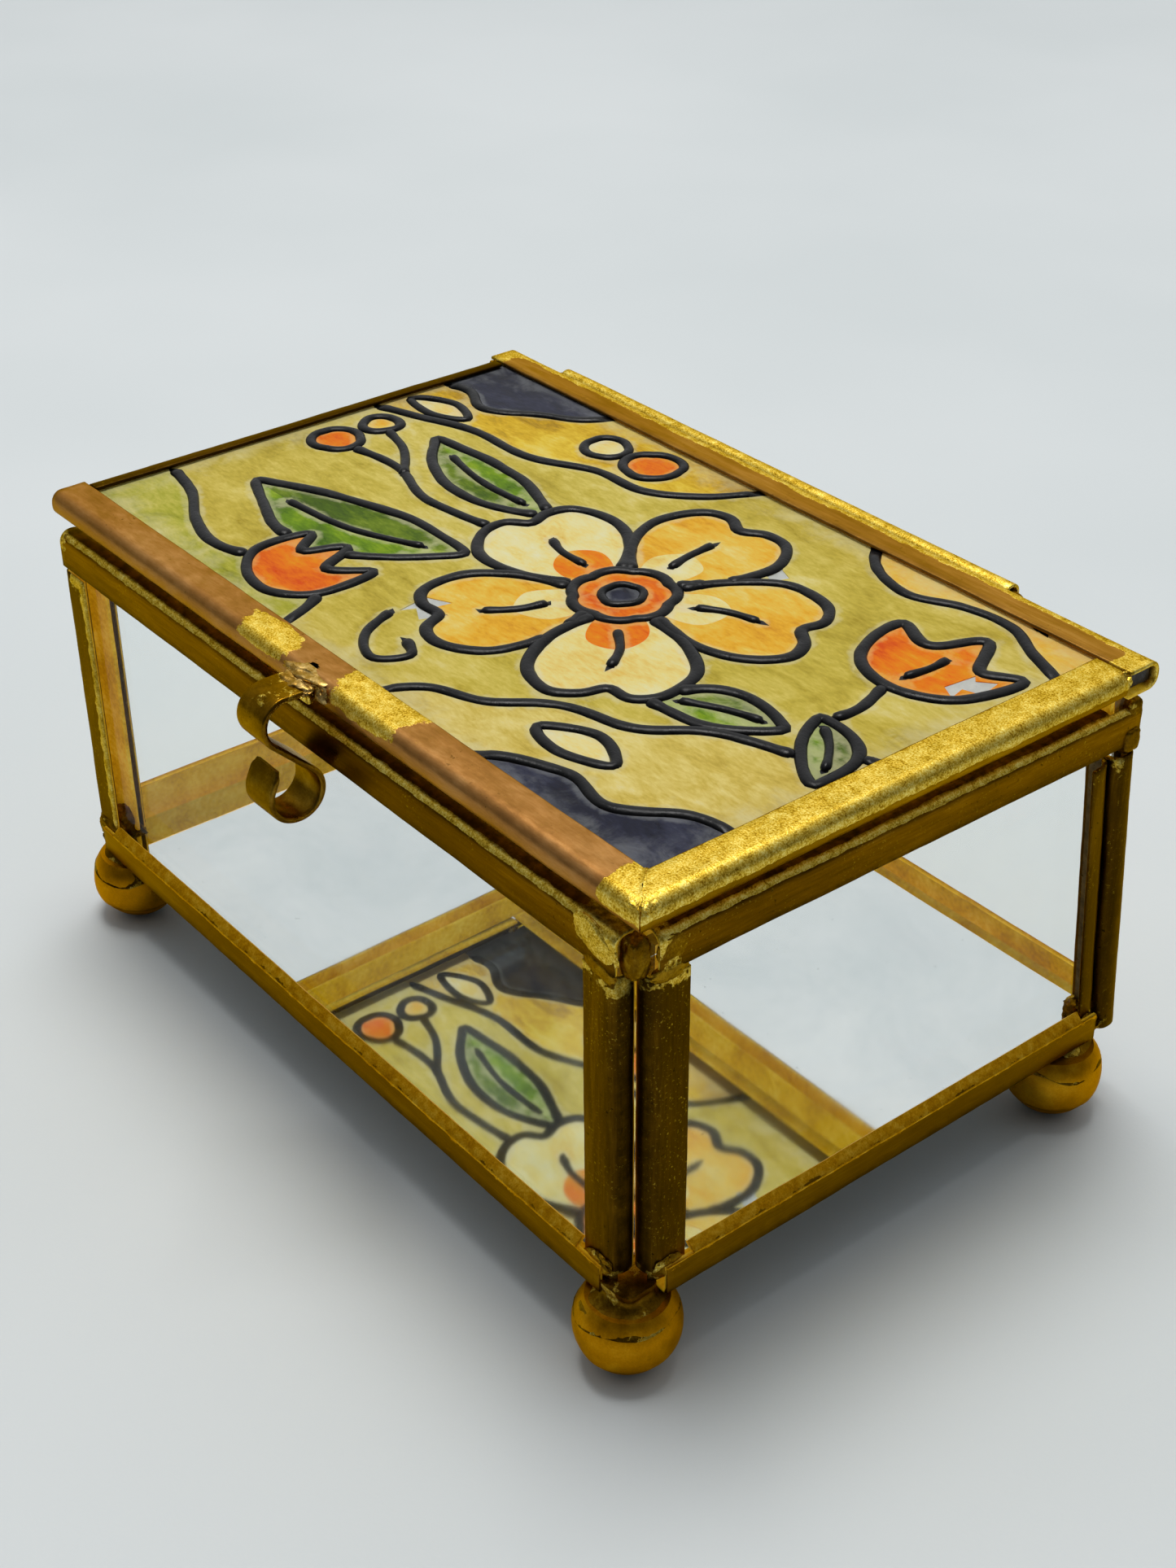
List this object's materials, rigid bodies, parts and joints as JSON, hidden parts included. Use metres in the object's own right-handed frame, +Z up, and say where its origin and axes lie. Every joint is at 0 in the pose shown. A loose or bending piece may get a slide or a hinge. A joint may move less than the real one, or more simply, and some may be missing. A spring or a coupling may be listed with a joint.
{
  "type": "trinket box",
  "caption": "Small glass trinket box: clear panes in folded brass channels, mirror floor in a tray on ball feet, painted glass lid on a wire hinge with a bent spring catch.",
  "frame": {"origin": "on the floor under the middle of the whole box, catch and tray included", "axes": "+X along the long side, to the right seen from the catch; +Y to the hinge at the back; +Z up"},
  "size_m": [0.0896, 0.0636, 0.0468],
  "materials": {
    "clear_glass": "clear polished sheet glass",
    "mirror_floor": "silvered sheet glass",
    "painted_lid": "glass painted on top, satin brush marks with glossy raised outlines",
    "tray_brass": "aged folded brass, satin",
    "foot_brass": "aged brass balls, satin",
    "rail_brass": "aged folded brass with brown patina",
    "post_brass": "dark aged folded brass",
    "hinge_brass": "aged brass tube and wire",
    "lid_copper_brass": "pinkish brown aged brass, satin",
    "lid_brass": "gold-rubbed brass, fine grain",
    "catch_brass": "bent spring brass strip, worn",
    "paint_black": "glossy raised outline paint",
    "solder": "lumpy solder rubbed with gold paint"
  },
  "bodies": {
    "box_body": {"base_rail_front": "tray_brass", "base_rail_back": "tray_brass", "base_rail_left": "tray_brass", "base_rail_right": "tray_brass", "foot_front_left": "foot_brass", "foot_front_right": "foot_brass", "foot_back_left": "foot_brass", "foot_back_right": "foot_brass", "front_top_rail": "rail_brass", "back_top_rail": "rail_brass", "left_top_rail": "rail_brass", "right_top_rail": "rail_brass", "front_post_left": "post_brass", "front_post_right": "post_brass", "left_post_front": "post_brass", "right_post_front": "post_brass", "left_post_back": "post_brass", "right_post_back": "post_brass", "back_post_left": "post_brass", "back_post_right": "post_brass", "front_glass": "clear_glass", "back_glass": "clear_glass", "left_glass": "clear_glass", "right_glass": "clear_glass", "base_mirror": "mirror_floor", "hinge_pin": "hinge_brass"},
    "lid": {"lid_glass": "painted_lid", "lid_rail_front": "lid_copper_brass", "lid_rail_right": "lid_brass", "lid_rail_left": "lid_brass", "lid_rail_back": "lid_brass", "hinge_tube": "hinge_brass", "lid_catch": "catch_brass"}
  },
  "joints": [
    {"name": "lid_hinge", "type": "hinge", "parent": "box_body", "child": "lid", "pos_m": [0, 0.03009, 0.0452], "axis": [-1, 0, 0], "range_deg": [0, 110]}
  ]
}
